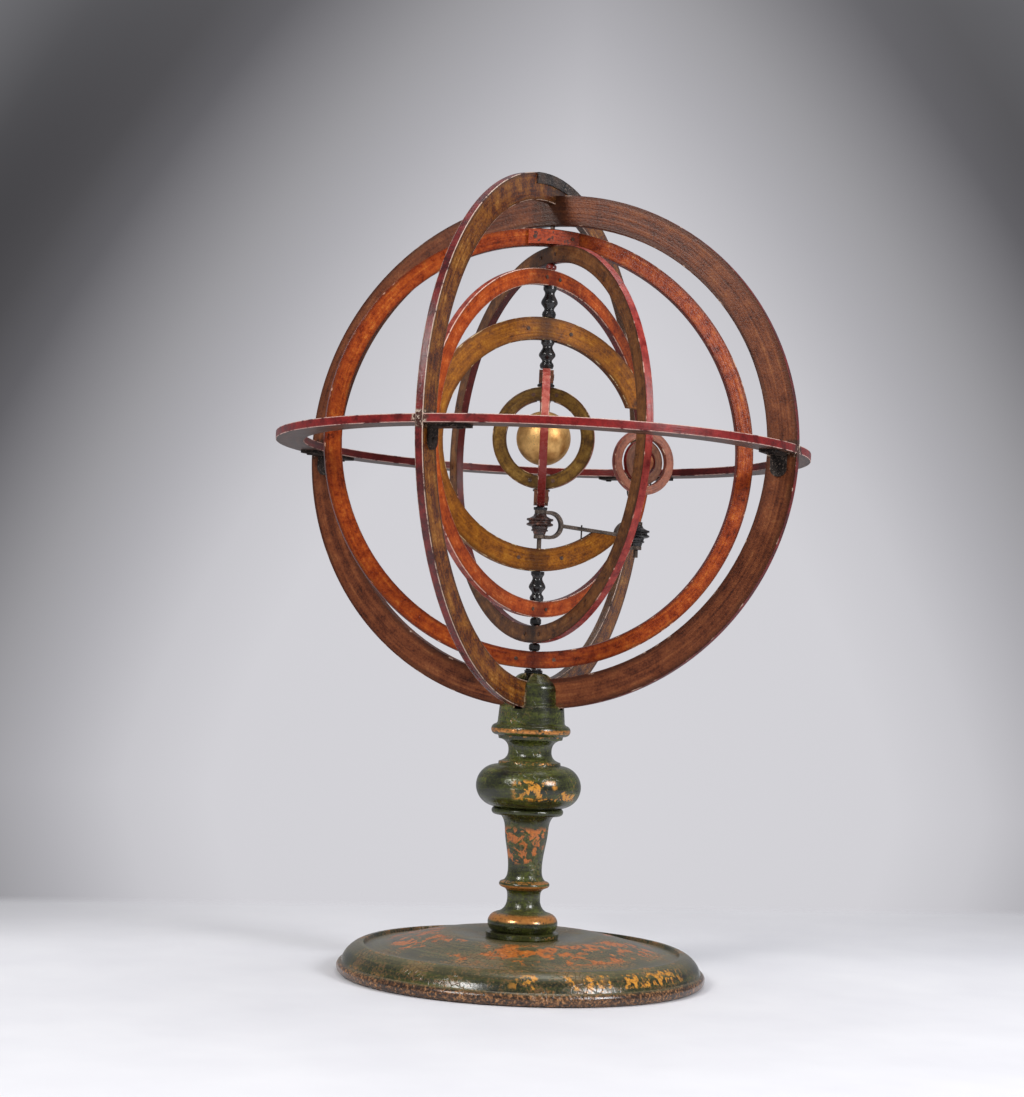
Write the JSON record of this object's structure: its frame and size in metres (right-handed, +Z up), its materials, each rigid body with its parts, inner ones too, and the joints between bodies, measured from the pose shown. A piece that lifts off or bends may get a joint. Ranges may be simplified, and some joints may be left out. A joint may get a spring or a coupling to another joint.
{
  "type": "planetary armillary sphere",
  "caption": "Table-top planetary sphere: turned stand, cage of upright and level rings, and planet rings that turn on one rod round a gilt sun.",
  "frame": {"origin": "centre of the base disc underside, on the line of the upright rod", "axes": "+Z up along the rod; the first upright ring lies in the XZ plane and the second in the YZ plane"},
  "size_m": [0.399, 0.399, 0.599],
  "materials": {
    "green_lacquer": "dark green lacquer over turned wood, worn to gilt and brown on its edges",
    "cage_paper": "varnished brown paper faces on flat wood, edges painted red",
    "black_iron": "blackened wrought iron",
    "axis_iron": "dark drawn iron wire and rod",
    "black_turned_wood": "ebonised turned wood, semi-gloss",
    "red_bead": "red painted turned wood",
    "gilt_wood": "gilded turned ball, rubbed",
    "aged_copper": "aged copper",
    "orange_varnish": "orange-red varnish, mottled and glossy",
    "brown_varnish": "dark brown varnish with a red edge",
    "ochre_varnish": "ochre varnish, mottled",
    "rose_varnish": "rose-red paint, worn",
    "copper_varnish": "copper-brown varnish",
    "olive_varnish": "olive-brown varnish with a red edge",
    "salmon_varnish": "salmon-coloured varnish",
    "umber_varnish": "grey-brown varnish with a red edge",
    "nail_iron": "small wrought nails"
  },
  "bodies": {
    "stand_and_cage": {"base_disc": "green_lacquer", "stand_column": "green_lacquer", "ring_seat": "green_lacquer", "colure_a": "cage_paper", "colure_b": "cage_paper", "horizon_ring": "cage_paper", "horizon_brackets": "black_iron", "bracket_screws": "black_iron", "crown_strap": "black_iron", "axis_rod": "axis_iron", "upper_bead": "red_bead", "upper_baluster": "black_turned_wood", "venus_baluster": "black_turned_wood", "mercury_discs": "black_turned_wood", "sun_sleeve": "aged_copper", "sun_ball": "gilt_wood", "venus_disc": "aged_copper", "fixed_pulley": "black_turned_wood", "lower_baluster": "black_turned_wood", "lower_beads": "black_turned_wood", "foot_collar": "black_turned_wood"},
    "saturn": {"saturn_ring": "orange_varnish", "saturn_cheeks": "orange_varnish", "saturn_nails": "nail_iron"},
    "jupiter": {"jupiter_ring": "brown_varnish", "jupiter_cheeks": "brown_varnish", "jupiter_nails": "nail_iron"},
    "mars": {"mars_ring": "orange_varnish", "mars_cheeks": "orange_varnish", "mars_nails": "nail_iron"},
    "earth_carriage": {"earth_ring": "ochre_varnish", "earth_cheeks": "ochre_varnish", "earth_nails": "nail_iron", "carriage_arm": "axis_iron", "carriage_wire": "axis_iron"},
    "earth_turntable": {"earth_spindle": "axis_iron", "spindle_pulley": "black_turned_wood", "meridian_ring": "salmon_varnish", "earth_axle": "axis_iron"},
    "moon": {"moon_ring": "umber_varnish"},
    "earth_globe": {"earth_ball": "aged_copper"},
    "venus": {"venus_ring": "rose_varnish", "venus_cheeks": "copper_varnish", "venus_nails": "nail_iron"},
    "mercury": {"mercury_ring": "olive_varnish", "mercury_cheeks": "olive_varnish", "mercury_nails": "nail_iron"}
  },
  "joints": [
    {"name": "saturn_turn", "type": "hinge", "parent": "stand_and_cage", "child": "saturn", "pos_m": [0, 0, 0.395], "axis": [0, 0, 1], "continuous": true},
    {"name": "jupiter_turn", "type": "hinge", "parent": "stand_and_cage", "child": "jupiter", "pos_m": [0, 0, 0.395], "axis": [0, 0, 1], "continuous": true},
    {"name": "mars_turn", "type": "hinge", "parent": "stand_and_cage", "child": "mars", "pos_m": [0, 0, 0.395], "axis": [0, 0, 1], "continuous": true},
    {"name": "earth_turn", "type": "hinge", "parent": "stand_and_cage", "child": "earth_carriage", "pos_m": [0, 0, 0.395], "axis": [0, 0, 1], "continuous": true},
    {"name": "venus_turn", "type": "hinge", "parent": "stand_and_cage", "child": "venus", "pos_m": [0, 0, 0.395], "axis": [0, 0, 1], "continuous": true},
    {"name": "mercury_turn", "type": "hinge", "parent": "stand_and_cage", "child": "mercury", "pos_m": [0, 0, 0.395], "axis": [0, 0, 1], "continuous": true},
    {"name": "earth_spindle_turn", "type": "hinge", "parent": "earth_carriage", "child": "earth_turntable", "pos_m": [0.054, 0.05997, 0.3347], "axis": [0, 0, 1], "continuous": true},
    {"name": "moon_ring_turn", "type": "hinge", "parent": "earth_turntable", "child": "moon", "pos_m": [0.05601, 0.0622, 0.39149], "axis": [-0.2668, -0.2963, 0.9171], "continuous": true},
    {"name": "earth_ball_turn", "type": "hinge", "parent": "earth_turntable", "child": "earth_globe", "pos_m": [0.05601, 0.0622, 0.39149], "axis": [-0.2668, -0.2963, 0.9171], "continuous": true}
  ],
  "couplings": [
    {"joint": "earth_spindle_turn", "follows": "earth_turn", "ratio": -1}
  ]
}
